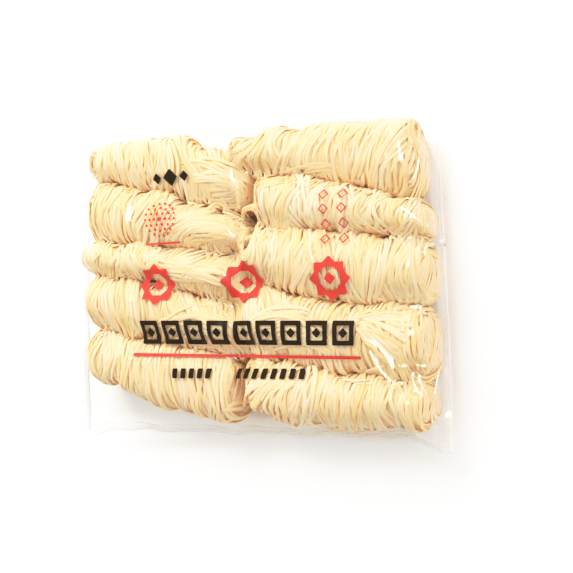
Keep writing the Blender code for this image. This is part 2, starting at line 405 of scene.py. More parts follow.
class Section:
    """The rounded form of one skein, which its strands are wound on."""

    def __init__(self, number, skein):
        self.skein = skein
        self.row = number % ROWS  # from the front
        self.column = (LEFT, RIGHT)[number // ROWS]
        low, high = self.limits(np.array([skein.start, skein.end]))
        middle = (low + high) / 2
        self.start = max(skein.start, float(left_end(middle[0])) + SEAL_WIDTH + SEAL_GAP)
        root = float(right_end(middle[1]) - right_seal(middle[1]))
        self.end = min(skein.end, root - SEAL_GAP)
        # The profile: along the skein and out from its axis, at even steps of its own length
        cap = np.linspace(0.0, 1.0, CAP_STEPS)
        left, right = self.start + CAP_REACH * cap**2, self.end - CAP_REACH * cap[::-1] ** 2
        self.x = np.concatenate([left, right])
        self.size = np.concatenate([rounded(cap**2), rounded(cap[::-1] ** 2)])
        steps = np.hypot(np.diff(self.x), CAP_RADIUS * np.diff(self.size))
        self.along = np.concatenate([[0.0], np.cumsum(steps)])
        self.length = self.along[-1]

    def limits(self, x):
        """The front and the back limit of the skein's row."""
        return limit_at(self.column, self.row, x), limit_at(self.column, self.row + 1, x)

    def sides(self, x):
        """The front and the back side of the skein, which swing in and out."""
        phase = 2.1 * self.row + 40.0 * self.column.start
        front, back = (
            np.sin(x / long + times * phase) + 0.6 * np.sin(x / short + more * phase)
            for long, times, short, more in EDGE_WAVES
        )
        at, trim_front, trim_back = np.array(self.skein.trims, dtype=float).T * MM
        low, high = self.limits(x)
        low = low + EDGE_SWING * front + np.interp(x, at, trim_front)
        high = high + EDGE_SWING * back - np.interp(x, at, trim_back)
        return low - ROW_OVERLAP * (self.row > 0), high + ROW_OVERLAP * (self.row < ROWS - 1)

    def levels(self, size):
        """Half the skein's height, and its axis' height where it has a share of its full size."""
        half_height = (self.column.crests[self.row] - 2 * FILM_CLEARANCE) / 2
        return half_height, END_HEIGHT + (half_height + FILM_CLEARANCE - END_HEIGHT) * size

    def place(self, share, angle):
        """The surface's points at shares of the profile's length and angles about the axis."""
        at = np.clip(share, 0.002, 0.998) * self.length
        x, size = np.interp(at, self.along, self.x), np.interp(at, self.along, self.size)
        reach = size / squared(np.cos(angle), np.sin(angle))
        return self.spot(x, size, reach * np.cos(angle), reach * np.sin(angle))

    def spot(self, x, size, across, up):
        """Points at x, at shares of the half width and the half height from the middle."""
        low, high = self.sides(x)
        half_height, middle_z = self.levels(size)
        y = (low + high) / 2 + (high - low) / 2 * across
        return np.stack([x, y, middle_z + half_height * up], axis=-1)

    def face(self, right, across, up):
        """Points on the skein's right or left end face."""
        size = np.clip(squared(across, up), 0.02, 1.0)
        part = slice(None, CAP_STEPS - 1, -1) if right else slice(0, CAP_STEPS)
        return self.spot(np.interp(size, self.size[part], self.x[part]), size, across, up)

    def face_share(self):
        """How far along the profile the skein's left end face reaches."""
        reach = np.interp(FACE_SIZE, self.size[:CAP_STEPS], self.along[:CAP_STEPS])
        return float(reach) / self.length

    def height(self, x, y):
        """The surface's height over places on the bag, down to its own middle."""
        size = np.maximum(np.interp(x, self.x, self.size), 0.05)
        low, high = self.limits(x)
        half_height, middle_z = self.levels(size)
        across = np.clip(np.abs((2 * y - low - high) / ((high - low) * size)), 0.0, 1.0)
        return middle_z + half_height * size * (1 - across**SECTION_POWER) ** (1 / SECTION_POWER)

    def outward(self, share, angle):
        """The surface's outward direction."""
        small = 0.004
        along = self.place(share + small, angle) - self.place(share - small, angle)
        around = self.place(share, angle + small) - self.place(share, angle - small)
        return unit(np.cross(around, along))


# Round openings between the skeins, in millimetres: x, y, radius and depth
PITS = [(8.6, 39.6, 6.4, 12.0), (9.6, 31.2, 3.2, 8.0), (10.3, 22.4, 3.2, 8.0), (-15, 46, 3.0, 6.0)]
PIT_WALL = (0.75, 1.1)  # where its wall starts and ends, as shares of the radius
SINK = 0.6  # how much further in strands stay from the film for each metre of their depth


def pitted(x, y):
    """How far the round openings go down."""
    down = np.zeros_like(x)
    for place_x, place_y, radius, depth in PITS:
        away = np.hypot(x - place_x * MM, y - place_y * MM) / (radius * MM)
        down = np.maximum(down, depth * MM * (1.0 - ease(*PIT_WALL, away)))
    return down


def keep_inside(points, depth):
    """Strands' middle lines pressed to lie inside the film, deeper ones further in."""
    x, y = points[..., 0], points[..., 1]
    sunk = SINK * np.maximum(depth, 0.0)
    over = film_top(x, y)
    highest = np.minimum(over, faceted(x, y, over)) - FILM_CLEARANCE - sunk - pitted(x, y)
    lowest = film_base(x, y) + FILM_CLEARANCE + sunk
    points[..., 2] = np.clip(points[..., 2], lowest, np.maximum(highest, lowest))
    return points


# ---- strands

# Layers from the inside out: their depth, strands in a band, the strands' spacing, the spread of
# the slant, how far a band's own depth varies, how often the layer covers the skein, and the
# points along a strand
Layer = namedtuple("Layer", "depth band pitch slant uneven cover steps")
LAYERS = [
    Layer(1.3 * MM, 5, 2.4 * MM, 5 * MM, 0.15 * MM, 1.2, 25),
    Layer(0.85 * MM, 5, 2.4 * MM, 8 * MM, 0.2 * MM, 1.2, 31),
    Layer(0.3 * MM, 5, 2.3 * MM, 13 * MM, 0.3 * MM, 0.8, 31),
]
STRAND_SLANT = 1.6 * MM  # how far strands of a band lean to each other
BOW_SPREAD = 3.5 * MM
END_LOOSENESS = 1.5  # the bands at a skein's ends lie across each other the most
FAN = 2.6 * MM  # how far strands spread or close up at a skein's sides
RUFFLE = 1.5 * MM  # how far they stick out or in there
SINGLY = 0.5  # how much of that each strand does alone, as a share of what its band does
CLOSING = 0.35  # how far a band's strands close up and spread again along their way
BAND_SWING, STRAND_SWING = 0.9 * MM, 0.5 * MM
BAND_CROWN = 0.4 * MM  # how much deeper the outer strands of a band lie
STRAND_UNEVEN = 0.15 * MM
PROUD, PROUD_AT_SIDES = 0.4 * MM, 1.2 * MM  # how far out of the skein a strand may come
TOP_DENSITY = 0.28  # how much closer a strand's points lie on the upper side
OVERLAP_TURN = (0.98, 1.08)  # of a turn, that a strand runs round the skein
START_SPREAD = 0.12  # of the angle that it starts from
BAND_PLACE = 0.4  # how far a band may lie beside its even place, as a share of their spacing
SPACING_SPREAD = 0.3 * MM
FACE_ROOM = 0.2  # the share of an end face that wound strands leave free
BOW_POWER = 1.5
END_DIVE = 3.0 * MM  # a strand's ends tuck in under the others
TUCK = 0.14  # the share of its half turn over which it does
BAND_TINT, STRAND_TINT = 0.14, 0.18  # the spread of the tints about the middle one
FULL_SECTION = [(1, 0), (0.72, 1), (-0.72, 1), (-1, 0), (-0.72, -1), (0.72, -1)]
PLAIN_SECTION = [(1, 1), (-1, 1), (-1, -1), (1, -1)]  # of strands that little is seen of


def wander(draw, strands, angle, waves, size):
    """A smooth random swing along each strand, of a few waves a turn."""
    swing = np.zeros((strands, angle.shape[-1]))
    for count in waves:
        height = draw.normal(0, size, strands)[:, None]
        swing = swing + height * np.sin(count * angle + draw.uniform(0, TURN, strands)[:, None])
    return swing


def at_sides(draw, size, strands, angle):
    """A random amount of a band and its strands, at the front and at the back of each turn."""
    amount = draw.normal(0, size, (strands, 2)) * SINGLY + draw.normal(0, size, 2)
    front, back = np.maximum(-np.cos(angle), 0.0) ** 2, np.maximum(np.cos(angle), 0.0) ** 2
    return amount[:, :1] * front + amount[:, 1:] * back


def joined(groups):
    """Groups of strands as one: their middle lines, outward directions and tints."""
    return [np.concatenate(values) for values in zip(*groups)]


def wound_strands(section, draw):
    """A skein's wound strands, for each layer."""
    layers = []
    shares, slants, bows = np.array(section.skein.flow).T
    edge = section.face_share()
    for layer in LAYERS:
        groups = []
        covered = layer.cover * section.length * (1.0 - 2.0 * edge)
        bands = round(covered / (layer.band * layer.pitch))
        for band in range(bands):
            strands = layer.band + draw.integers(-1, 2)
            jitter = draw.uniform(-BAND_PLACE, BAND_PLACE)
            centre = edge + (1 - 2 * edge) * (band + 0.5 + jitter) / bands
            beside = (np.arange(strands) - (strands - 1) / 2) * layer.pitch
            beside = beside + PAIRING * (-1.0) ** np.arange(strands)
            beside = beside + draw.normal(0, SPACING_SPREAD, strands)
            # Each strand runs round from the underside and back to it
            steps = np.linspace(-1.0, 1.0, layer.steps)
            round_it = math.pi * ((1.0 - TOP_DENSITY) * steps + TOP_DENSITY * steps**3)
            reach = draw.uniform(*OVERLAP_TURN, strands)[:, None]
            angle = math.pi / 2 + round_it[None, :] * reach
            angle = angle + draw.normal(0, START_SPREAD, strands)[:, None]
            loose = 1.0 + END_LOOSENESS * (band in (0, bands - 1))
            slant = np.interp(centre, shares, slants) * MM
            slant = slant + draw.normal(0, loose * layer.slant / 2)
            slant = slant + draw.normal(0, STRAND_SLANT, strands)[:, None]
            bow = np.interp(centre, shares, bows) * MM + draw.normal(0, loose * BOW_SPREAD)
            fan = at_sides(draw, FAN, strands, angle)
            along = (
                beside[:, None] * (1 + CLOSING * np.sin(angle * 2 + draw.uniform(0, TURN)))
                + slant / 2 * np.cos(angle)
                + bow * np.maximum(np.sin(angle), 0.0) ** BOW_POWER
                + fan
                + wander(draw, 1, angle, (1, 2, 3), BAND_SWING)
                + wander(draw, strands, angle, (2, 3, 5), STRAND_SWING)
            )
            free = FACE_ROOM * edge
            share = np.clip(centre + along / section.length, free, 1.0 - free)
            crown = BAND_CROWN * (2 * beside / (strands * layer.pitch)) ** 2
            ruffle = at_sides(draw, RUFFLE, strands, angle)
            depth = (
                layer.depth
                + crown[:, None]
                + ruffle
                + np.abs(draw.normal(0, layer.uneven))
                + wander(draw, 1, angle, (2, 3), layer.uneven * 0.6)
                + wander(draw, strands, angle, (3, 4), STRAND_UNEVEN)
            )
            tucked = 1.0 - ease(0.0, TUCK, 1.0 - np.abs(steps))[None, :]
            depth = np.maximum(depth, -PROUD - PROUD_AT_SIDES * np.cos(angle) ** 2)
            depth = depth + END_DIVE * tucked
            out = section.outward(share, angle)
            line = section.place(share, angle) - depth[..., None] * out
            tints = 0.5 + draw.normal(0, BAND_TINT) + draw.normal(0, STRAND_TINT, strands)
            groups.append((keep_inside(line, depth), out, np.clip(tints, 0, 1)))
        layers.append(joined(groups))
    return layers


END_DEPTHS = (0.9 * MM, 0.3 * MM)  # of the layers on an end
END_PITCH = 2.5 * MM
END_GROUPS = 7  # of strands, on each layer of an end
END_GROUP_STRANDS = 4
END_REACH = 0.93  # how far out strands lie across an end, as a share of its half height
END_STEPS = 12
END_PLACE = 0.2  # the spread of a group's place about its even one
END_TILT, END_BOW = 0.30, 0.08  # the spread of its slope and of its bow
END_WIDTHS = (0.75, 0.95)  # how much of the end's width a strand spans
END_SPREAD = 0.04  # of a strand's height in its group
END_TUCK = 0.25
END_UNEVEN = 0.2 * MM


def end_strands(section, draw):
    """Strands that lie across a skein's two ends."""
    groups = []
    half_height = section.column.crests[section.row] / 2
    small = 0.01
    each = (END_GROUP_STRANDS, 1)
    steps = np.linspace(-1.0, 1.0, END_STEPS)[None, :]
    beside = (np.arange(END_GROUP_STRANDS)[:, None] - 1.5) * END_PITCH / half_height
    tucked = 1.0 - ease(0.0, END_TUCK, 1.0 - np.abs(steps))
    for right, depth in ((right, depth) for right in (False, True) for depth in END_DEPTHS):
        for group in range(END_GROUPS):
            place = (group + 0.5 + draw.normal(0, END_PLACE)) / END_GROUPS
            middle = END_REACH * (2.0 * place - 1.0)
            tilt, bow = draw.normal(0, END_TILT), draw.normal(0, END_BOW)
            across = draw.uniform(*END_WIDTHS, each) * steps
            up = middle + beside + tilt * across + bow * (1.0 - steps**2)
            up = up + draw.normal(0, END_SPREAD, each)
            up = np.clip(up, -END_REACH, END_REACH)
            across = across * (1.0 - np.abs(up) ** SECTION_POWER) ** (1 / SECTION_POWER)
            rise, run = (
                section.face(right, across + a, up + b) - section.face(right, across - a, up - b)
                for a, b in ((0.0, small), (small, 0.0))
            )
            out = unit(np.cross(run, rise)) * (1.0 if right else -1.0)
            deep = depth + END_DIVE * tucked + draw.normal(0, END_UNEVEN, each)
            line = section.face(right, across, up) - deep[..., None] * out
            tints = np.clip(draw.normal(0.5, 0.2, END_GROUP_STRANDS), 0, 1)
            groups.append((keep_inside(line, deep), out, tints))
    return joined(groups)


BUNDLE_STEPS = 34
BUNDLE_LIFT = (-0.3 * MM, 0.6 * MM)  # of its strands above the wound ones
BUNDLE_STAGGER = 0.22  # the share of the bundle's length within which its strands start or end
BUNDLE_DIVE = 4.0 * MM  # of a strand's ends under the others
BUNDLE_TUCK = 0.18  # the share of its length over which it dives
BUNDLE_PLACE = 0.35  # how far a strand may lie beside its even place, as a share of their spacing
STEEPEST = 2.0  # the slope up to which strands lean with the heap


def smooth_path(points, steps):
    """A smooth curve through a few points, at even steps of its own parameter."""
    points = np.array(points, dtype=float)
    knots = np.linspace(0.0, 1.0, len(points))
    slopes = np.gradient(points, knots, axis=0)
    at = np.linspace(0.0, 1.0, steps)
    leg = np.clip(np.searchsorted(knots, at, side="right") - 1, 0, len(points) - 2)
    reach = knots[leg + 1] - knots[leg]
    t = ((at - knots[leg]) / reach)[:, None]
    reach = reach[:, None]
    return (
        (2 * t**3 - 3 * t**2 + 1) * points[leg]
        + (t**3 - 2 * t**2 + t) * reach * slopes[leg]
        + (3 * t**2 - 2 * t**3) * points[leg + 1]
        + (t**3 - t**2) * reach * slopes[leg + 1]
    )


def heap_height(sections, x, y):
    """The height of the heap of skeins at places on the bag."""
    return np.max([section.height(x, y) for section in sections], axis=0)


def laid_strands(bundle, sections, draw):
    """The strands of a bundle laid over the skeins."""
    middle = smooth_path(bundle.path, BUNDLE_STEPS) * MM
    along = unit(np.gradient(middle, axis=0))
    across = np.stack([-along[:, 1], along[:, 0]], axis=-1)
    steps = np.linspace(0.0, 1.0, BUNDLE_STEPS)
    count = bundle.strands
    width = np.interp(steps, (0.0, 1.0), bundle.widths) * MM
    jitter = draw.uniform(-BUNDLE_PLACE, BUNDLE_PLACE, count)
    place = (np.arange(count) + 0.5 + jitter) / count - 0.5
    swing = wander(draw, count, steps * TURN / 2, (1, 2, 3), BAND_SWING)
    beside = place[:, None] * width + swing
    # Each strand starts and ends in its own place along the bundle
    first = draw.uniform(0.0, BUNDLE_STAGGER, count)[:, None]
    last = draw.uniform(1.0 - BUNDLE_STAGGER, 1.0, count)[:, None]
    at = first + (last - first) * steps
    x, y = (
        np.interp(at, steps, middle[:, axis]) + beside * np.interp(at, steps, across[:, axis])
        for axis in (0, 1)
    )
    small = 1.5 * MM
    heap = heap_height(sections, x, y)
    height = np.maximum(heap, bundle.height * MM)
    rises = (
        heap_height(sections, x + a, y + b) - heap_height(sections, x - a, y - b)
        for a, b in ((small, 0.0), (0.0, small))
    )
    resting = heap > bundle.height * MM  # the others span a hollow and lie flat
    lean = [-np.clip(rise / (2 * small), -STEEPEST, STEEPEST) * resting for rise in rises]
    out = unit(np.stack([*lean, np.ones_like(x)], -1))
    tucked = 1.0 - ease(0.0, BUNDLE_TUCK, np.minimum(steps, 1.0 - steps))
    lift = draw.uniform(*BUNDLE_LIFT, count)[:, None] - BUNDLE_DIVE * tucked
    line = np.stack([x, y, height], -1) + lift[..., None] * out
    return keep_inside(line, -lift), out, np.clip(draw.normal(0.55, 0.2, count), 0, 1)


TWIST = 0.11  # the spread of the angle that a strand is turned by about its own line
WIDTHS = (0.82, 1.12)  # of the strands, as shares of the usual one


def ribbons(lines, outs, tints, draw, section):
    """Flat noodle strands along middle lines, as points and faces with a tint a point."""
    strands, steps = lines.shape[:2]
    sides = len(section)
    along = unit(np.gradient(lines, axis=1))
    side = unit(np.cross(along, outs))
    out = np.cross(side, along)
    turn = draw.normal(0, TWIST, strands)[:, None]
    turn = turn + wander(draw, strands, np.linspace(0, TURN, steps), (1, 2, 3), TWIST * 0.6)
    cosine, sine = np.cos(turn)[..., None], np.sin(turn)[..., None]
    side, out = cosine * side + sine * out, cosine * out - sine * side
    width = (STRAND_WIDTH * draw.uniform(*WIDTHS, strands))[:, None, None] / 2
    half = STRAND_THICKNESS / 2
    points = np.stack([lines + side * width * a + out * half * b for a, b in section], axis=2)
    ring = np.arange(strands * steps * sides).reshape(strands, steps, sides)
    here, after = ring[:, :-1], ring[:, 1:]
    walls = np.stack([here, np.roll(here, -1, 2), np.roll(after, -1, 2), after], axis=-1)
    ends = [ring[:, 0, 3::-1], ring[:, -1, :4]]
    if sides == 6:
        ends += [ring[:, 0][:, [0, 5, 4, 3]], ring[:, -1][:, [3, 4, 5, 0]]]
    quads = np.concatenate([walls.reshape(-1, 4)] + ends)
    return points.reshape(-1, 3), quads, np.repeat(tints, steps * sides)


CORE_DEPTH = 1.5 * MM
CORE_SHARES, CORE_ANGLES = 26, 20
CORE_ENDS = (0.02, 0.98)  # as shares of the profile's length


def core(section):
    """A plain closed form, close under the strands, that stands for the unseen inside of a skein:
    its points and faces."""
    share, angle = np.meshgrid(
        np.linspace(*CORE_ENDS, CORE_SHARES),
        np.linspace(0, TURN, CORE_ANGLES, endpoint=False),
        indexing="ij",
    )
    points = section.place(share, angle) - CORE_DEPTH * section.outward(share, angle)
    points = keep_inside(points, CORE_DEPTH)
    ring = np.arange(share.size).reshape(share.shape)
    here, after = ring[:-1], ring[1:]
    quads = np.stack([here, after, np.roll(after, -1, 1), np.roll(here, -1, 1)], -1)
    # Each end closes on a middle row of points as a strip of four-sided faces
    half = CORE_ANGLES // 2
    ends = []
    for row, turned in ((ring[0], False), (ring[-1], True)):
        strip = [[row[i], row[i + 1], row[-i - 2], row[-i - 1]] for i in range(half - 1)]
        ends += [face[::-1] if turned else face for face in strip]
    return points.reshape(-1, 3), np.concatenate([quads.reshape(-1, 4), np.array(ends)])


# ---- materials

FLOUR = 0.45  # how much flour covers the dough where it lies thickest
GLOW = 0.35  # the share of light that goes through a strand and not back from it
FILM_GLOSS = (0.05, 0.85)  # how much the film mirrors, seen straight on and quite aslant


def dried_noodle():
    """Dried wheat noodle dough, rolled and cut: creamy and matt, dusty with flour, from strand to
    strand paler or more yellow, and thin enough for light to glow through."""
    material, place = new_material("dried_wheat_noodle")
    strand = attribute(material, "strand")
    dough = mixed_colour(material, strand, linear("#FFDE9A"), linear("#FFF3D4"))
    dust = stretched(material, noise(material, place, 1.2 * MM, 3.0), 0.42, 0.72, 0.0, FLOUR)
    floury = mixed_colour(material, dust, dough, linear("#FFF5E0"))
    grain = bumpy(material, 0.25, 0.1 * MM, noise(material, place, 0.5 * MM, 2.0))
    matt = surface(
        material, "Principled", Base_Color=floury, Roughness=0.55, IOR=1.45, Normal=grain
    )
    glow = surface(material, "Translucent", Color=linear("#FFEFB0"))
    return finished(material, mixed_shader(material, GLOW, matt, glow))


def clear_film():
    """Clear biaxial polypropylene film, 40 microns thick: see-through, glossy aslant, and a little
    milky where it is folded or sealed, with a white line along its edges that is partly a painted
    highlight."""
    material, place = new_material("clear_polypropylene_film")
    facing = add_node(material, "LayerWeight", Blend=0.5).outputs["Facing"]
    slanted = add_node(material, "Math", {"operation": "POWER"}, in0=facing, in1=5.0).outputs[0]
    mirrored = stretched(material, slanted, 0.0, 1.0, *FILM_GLOSS)
    ripples = bumpy(material, 0.2, 0.4 * MM, noise(material, place, 9 * MM, 2.0))
    through = surface(material, "Transparent", Color=(0.995, 0.995, 0.993, 1.0))
    gloss = surface(material, "Glossy", Roughness=0.12, Normal=ripples)
    clear = mixed_shader(material, mirrored, through, gloss)
    # Milky white, which along the film's edges also paints a highlight
    milk_and_highlight = surface(material, "Diffuse", Color=linear("#FBFAF6"), Roughness=0.5)
    return finished(material, mixed_shader(material, attribute(material, "seam"), clear, milk_and_highlight))


def ink(name, pale, deep):
    """Flexographic ink on film: dense, satin, and a little thin here and there."""
    material, place = new_material(name)
    cover = noise(material, place, 3 * MM, 4.0)
    colour = mixed_colour(material, cover, linear(deep), linear(pale))
    satin = {"Roughness": 0.42, "Specular_IOR_Level": 0.2}
    return finished(material, surface(material, "Principled", Base_Color=colour, **satin))


def floor_paint():
    """Matt white board, with a very faint cloudiness."""
    material, place = new_material("matt_white_board")
    cloud = noise(material, place, 25 * MM, 3.0)
    colour = mixed_colour(material, cloud, linear("#F8F8F6"), linear("#FCFCFB"))
    return finished(material, surface(material, "Principled", Base_Color=colour, Roughness=0.9))


# ---- pieces

# Bundles of strands laid over a skein: how many strands, the bundle's width at its start and end,
# the points that its middle passes over, and its least height, all in millimetres on the bag
Bundle = namedtuple("Bundle", "strands widths path height", defaults=[0.0])


def loop(strands, width, centre, radius, height, turns=1.0, start=0.0):
    """A bundle that curls round in a ring."""
    angles = start + TURN * turns * np.linspace(0.0, 1.0, 9)
    path = [(centre[0] + radius * math.cos(a), centre[1] + radius * math.sin(a)) for a in angles]
    return Bundle(strands, (width, width), path, height)


# The left column's skeins from front to back, and then the right one's
SKEINS = [
    Skein(
        -0.118, 0.002,
        [(0, 16, 0), (0.4, 2, 2), (0.7, -10, 2), (1, -14, 4)],
        [Bundle(2, (2, 1), [(14, -66), (2, -76), (-11, -87)], 26)],
        [(-118, 13, 0), (-85, 8, 0), (-55, 2, 0), (0, 3, 0)],
    ),
    Skein(
        -0.119, 0.010,
        [(0, 4, -2), (0.4, -2, -2), (0.6, -22, 6), (1, -30, 10)],
        [
            Bundle(12, (14, 16), [(-66, -38), (-46, -29), (-24, -26), (-6, -32), (3, -46)]),
            Bundle(7, (6, 8), [(-40, -46), (-22, -40), (-8, -44), (0, -54)]),
        ],
    ),
    Skein(
        -0.124, 0.007,
        [(0, 2, 0), (0.4, 4, -3), (0.7, 22, -8), (1, 12, -6)],
        [
            Bundle(8, (14, 6), [(-70, 16), (-52, 8), (-34, 6), (-14, 0), (4, -8)]),
            Bundle(6, (9, 5), [(-36, -12), (-34, 0), (-22, 8), (-6, 6), (3, -4)]),
        ],
    ),
    Skein(
        -0.118, 0.012,
        [(0, 2, 0), (0.4, 8, -4), (0.7, 28, -8), (1, 22, -4)],
        [
            Bundle(12, (14, 12), [(-58, 22), (-46, 34), (-28, 41), (-6, 39), (6, 30), (7, 18)]),
            Bundle(11, (14, 10), [(-46, 14), (-34, 27), (-18, 31), (-4, 27), (2, 18)]),
            Bundle(2, (1.5, 1.5), [(-24, 43), (-21, 48.5), (-16, 50.5), (-10, 48), (-6, 43)], 38),
        ],
        [(-50, 0, 0), (-32, 0, 2), (-6, 0, 3), (12, 0, 2)],
    ),
    Skein(
        -0.120, 0.008,
        [(0, 2, 0), (0.4, -4, 2), (0.7, -20, 10), (1, -28, 12)],
        [
            Bundle(
                14, (15, 12),
                [(-54, 74), (-28, 76), (-6, 68), (5, 60), (0, 53), (-16, 52), (-34, 57)],
            ),
            Bundle(9, (9, 7), [(-44, 66), (-20, 66), (-6, 63), (-2, 59), (-7, 57), (-20, 59)]),
        ],
        [(-60, 0, 0), (-29, 1, 4), (-5, 3, 14), (6, 3, 20)],
    ),
    Skein(
        0.004, 0.128,
        [(0, 36, 2), (0.25, 22, 0), (0.5, 4, 0), (1, -8, 0)],
        [
            Bundle(6, (4, 7), [(66, -56), (80, -62), (94, -60), (106, -53)]),
            Bundle(16, (6, 40), [(47, -58), (34, -65), (24, -75), (17, -88)]),
            Bundle(1, (0, 0), [(52, -74), (47, -84), (50, -91), (58, -93), (74, -93)]),
        ],
        [(5, 9, 0), (25, 5, 0), (50, 1, 0), (110, 2, 0), (131, 6, 0)],
    ),
    Skein(
        -0.001, 0.132,
        [(0, -4, -6), (0.3, -16, 4), (0.6, 8, -8), (0.8, 2, -8), (1, -2, 2)],
        [
            Bundle(18, (26, 7), [(6, -42), (22, -34), (42, -32), (62, -40), (78, -56)]),
            Bundle(7, (8, 10), [(10, -54), (11, -36), (24, -23), (44, -22), (60, -26)]),
            Bundle(20, (6, 42), [(84, -24), (94, -30), (106, -38), (122, -46)]),
            Bundle(7, (4, 9), [(78, -21), (92, -23), (110, -23), (125, -21)]),
        ],
    ),
    Skein(
        -0.005, 0.132,
        [(0, 18, 0), (0.3, 8, 0), (0.6, 0, 1), (1, -2, 2)],
        [
            Bundle(5, (6, 5), [(4, 26), (-2, 14), (0, 0), (12, -13)]),
            loop(2, 1.2, (9.6, 31.2), 4.2, 33, 0.95, 4.4),
            Bundle(
                3, (2, 2),
                [(5, 27), (10, 29), (15, 25), (14.5, 19), (10, 14), (5, 17), (5, 24)], 36,
            ),
        ],
    ),
    Skein(
        0.010, 0.128,
        [(0, 4, 0), (0.45, 2, 0), (0.7, 14, -6), (1, 8, -2)],
        [
            Bundle(6, (7, 5), [(94, 54), (84, 44), (84, 32), (96, 25), (112, 27)]),
            loop(3, 1.6, (8.6, 39.6), 7.4, 32, 1.02, 3.6),
        ],
    ),
    Skein(
        -0.010, 0.122,
        [(0, 2, 0), (0.5, 8, 0), (0.75, 16, -2), (1, 6, 2)],
        [Bundle(7, (9, 7), [(10, 60), (34, 64), (60, 66), (84, 60)])],
    ),
]


# Hairpin loops of strands that curl over a skein's sides, in millimetres but for the margin
EDGE_LOOPS = 5  # along each side
LOOP_MARGIN = 12 * MM  # from the skein's two ends
LOOP_STRANDS, LOOP_BUNDLE = 2, (1.8, 1.8)
LOOP_HALF_WIDTH = (2.0, 4.0)
LOOP_LEAN = 2.5
LOOP_REACH = (-2.5, 0.5)  # past the side
LOOP_WAIST = 3.0  # where it is parallel, from the side inwards
LOOP_LENGTH = (7.0, 12.0)
OUTER_SIDE = 65.0  # sides further out than this face the bag's folds and have none


def edge_loops(section, draw):
    """The bundles of a skein's edge loops."""
    loops = []
    inner = section.end - section.start - 2 * LOOP_MARGIN
    for side, inward in ((0, 1.0), (1, -1.0)):
        for number in range(EDGE_LOOPS):
            share = (number + 0.5 + draw.uniform(-0.4, 0.4)) / EDGE_LOOPS
            x = section.start + LOOP_MARGIN + inner * share
            edge = float(section.sides(x)[side]) / MM
            half, lean = draw.uniform(*LOOP_HALF_WIDTH), draw.normal(0, LOOP_LEAN)
            tip = edge - inward * draw.uniform(*LOOP_REACH)
            foot = edge + inward * draw.uniform(*LOOP_LENGTH)
            waist, x = edge + inward * LOOP_WAIST, x / MM
            path = [(x - half + lean, foot), (x - half, waist), (x, tip), (x + half, waist)]
            path.append((x + half + lean, foot))
            if abs(edge) < OUTER_SIDE:
                loops.append(Bundle(LOOP_STRANDS, LOOP_BUNDLE, path))
    return loops


FIRST_SEED = 100
ROW_NAMES = ("front", "second", "middle", "fourth", "back")


def skein_piece(number, sections, material):
    """One hand-wound skein of flat dried noodles."""
    draw = np.random.default_rng(FIRST_SEED + number)
    section = sections[number]
    wound = wound_strands(section, draw)
    bundles = edge_loops(section, draw) + section.skein.bundles
    laid = [laid_strands(bundle, sections, draw) for bundle in bundles]
    parts = [ribbons(*wound[0], draw, PLAIN_SECTION)]
    seen = wound[1:] + laid + [end_strands(section, draw)]
    parts += [ribbons(*strands, draw, FULL_SECTION) for strands in seen]
    inside, faces = core(section)
    # The core takes the deepest dough tint: a stand-in for the inner strands, and partly painted
    # shade where it shows between them
    parts.append((inside, faces, np.zeros(len(inside))))
    firsts = np.cumsum([0] + [len(points) for points, _, _ in parts])
    quads = np.concatenate([quads + first for (_, quads, _), first in zip(parts, firsts)])
    points, _, tint = joined(parts)
    side = "left" if section.column is LEFT else "right"
    name = f"{ROW_NAMES[section.row]}_{side}_skein"
    mesh_piece(name, points, quads.tolist(), material, "dried_noodles", strand=tint)


FILM_CELL = 1.3 * MM
FINE_CELL = 0.8 * MM  # at the right end, where the facets are
FINE_FROM = 0.79  # of the bag's length
BASE_EVERY = 3  # the underside takes every third point of the top's grid

# Creases of the film, in millimetres on the bag: where each starts and ends, how far its middle
# bows to its left, its height and its half width
Crease = namedtuple("Crease", "start end bow height width")
CREASES = [
    # at the right end
    Crease((118, 92), (124, 78), -1.0, 1.1, 1.9),
    Crease((122, -18), (129, -36), 2.0, 1.2, 2.1),
    Crease((112, -14), (130, -10), 1.2, 1.1, 1.9),
    # at the left end
    Crease((-126, 60), (-104, 52), 1.5, 1.4, 2.1),
    Crease((-126, 56), (-112, 38), -2.0, 1.2, 1.9),
    Crease((-127, 12), (-103, 16), -1.5, 1.4, 2.1),
    Crease((-127, 8), (-110, -8), 2.0, 1.2, 1.9),
    Crease((-126, -34), (-100, -28), 1.2, 1.6, 2.3),
    Crease((-126, -38), (-108, -54), -2.0, 1.2, 1.9),
    Crease((-120, -84), (-104, -66), 2.0, 1.4, 2.1),
    Crease((-118, 92), (-106, 76), -1.5, 1.3, 2.1),
]
# Where the film is drawn tight it forms narrow flat facets, in millimetres on the bag: where
# each starts and ends, how far its middle bows to its left, its height at its start, its slope
# along x and y, and its half width at its start and end
Facet = namedtuple("Facet", "start end bow height slope widths")
FACETS = [
    Facet((113, 40), (127, 27), 0.3, 42.6, (-0.36, -0.13), (1.0, 0.9)),
    Facet((128, 21), (124, 9), -1.1, 29.6, (-0.35, -0.16), (0.8, 0.6)),
    Facet((89, -38), (108, -57), 3.4, 45.4, (-0.39, -0.24), (1.0, 2.1)),
    Facet((93, -45), (107, -64), -1.6, 41.4, (-0.39, -0.25), (1.0, 2.1)),
    Facet((111, -55), (128, -55), 1.2, 39.8, (-0.36, -0.25), (1.5, 1.5)),
    Facet((117, -56), (124, -72), -2.5, 32.9, (-0.36, -0.26), (1.0, 1.4)),
    Facet((120, -58), (124, -68), -0.9, 31.6, (-0.36, -0.26), (0.7, 0.8)),
    Facet((129, -55), (127, -72), -0.4, 18.6, (-0.34, -0.26), (1.1, 1.1)),
    Facet((122, 69), (119, 56), 0.7, 33.0, (-0.36, -0.10), (0.8, 0.8)),
    Facet((-76, 53), (-77, 41), -0.5, 42.6, (-0.64, -0.13), (1.8, 2.6)),
]
FACET_BLEND = 2.0 * MM
TENSION = 0.12 * MM  # of the slow unevenness of film drawn over strands
